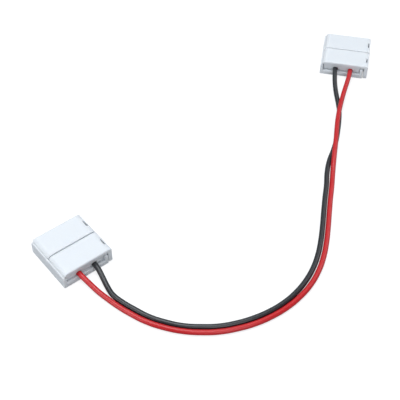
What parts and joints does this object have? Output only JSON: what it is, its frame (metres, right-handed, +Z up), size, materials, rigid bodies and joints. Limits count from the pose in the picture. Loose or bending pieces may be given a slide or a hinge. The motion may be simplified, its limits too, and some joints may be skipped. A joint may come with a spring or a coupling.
{
  "type": "led strip connector",
  "caption": "Two hinged clips for a two-wire 10 mm light strip, joined by a red and a black lead; each clip has two flaps over sprung contacts.",
  "frame": {"origin": "middle of clip a's underside", "axes": "+X across clip a from its hinge side to its latch side, +Y along the strip out of clip a's mouth, +Z up"},
  "size_m": [0.1288, 0.0704, 0.0046],
  "materials": {
    "white_plastic": "satin moulded plastic",
    "tinned_brass": "bright tin plating",
    "solder": "reflowed, smooth",
    "copper": "drawn bare strands",
    "red_insulation": "smooth flexible vinyl",
    "black_insulation": "smooth flexible vinyl"
  },
  "bodies": {
    "clips": {"clip_a_base": "white_plastic", "clip_a_red_contact": "tinned_brass", "clip_a_black_contact": "tinned_brass", "clip_a_red_solder": "solder", "clip_a_black_solder": "solder", "clip_a_red_strands": "copper", "clip_a_black_strands": "copper", "clip_b_base": "white_plastic", "clip_b_red_contact": "tinned_brass", "clip_b_black_contact": "tinned_brass", "clip_b_red_solder": "solder", "clip_b_black_solder": "solder", "clip_b_red_strands": "copper", "clip_b_black_strands": "copper", "red_wire": "red_insulation", "black_wire": "black_insulation"},
    "clip_a_strip_flap": {"clip_a_strip_cover": "white_plastic"},
    "clip_a_wire_flap": {"clip_a_wire_cover": "white_plastic"},
    "clip_b_strip_flap": {"clip_b_strip_cover": "white_plastic"},
    "clip_b_wire_flap": {"clip_b_wire_cover": "white_plastic"}
  },
  "joints": [
    {"name": "clip_a_strip_hinge", "type": "hinge", "parent": "clips", "child": "clip_a_strip_flap", "pos_m": [-0.007, 0.00384, 0.0035], "axis": [0, -1, 0], "range_deg": [0, 150]},
    {"name": "clip_a_wire_hinge", "type": "hinge", "parent": "clips", "child": "clip_a_wire_flap", "pos_m": [-0.007, -0.00376, 0.0035], "axis": [0, -1, 0], "range_deg": [0, 150]},
    {"name": "clip_b_strip_hinge", "type": "hinge", "parent": "clips", "child": "clip_b_strip_flap", "pos_m": [0.10965, 0.02103, 0.0035], "axis": [-0.7672, -0.6414, 0], "range_deg": [0, 150]},
    {"name": "clip_b_wire_hinge", "type": "hinge", "parent": "clips", "child": "clip_b_wire_flap", "pos_m": [0.10382, 0.01616, 0.0035], "axis": [-0.7672, -0.6414, 0], "range_deg": [0, 150]}
  ]
}
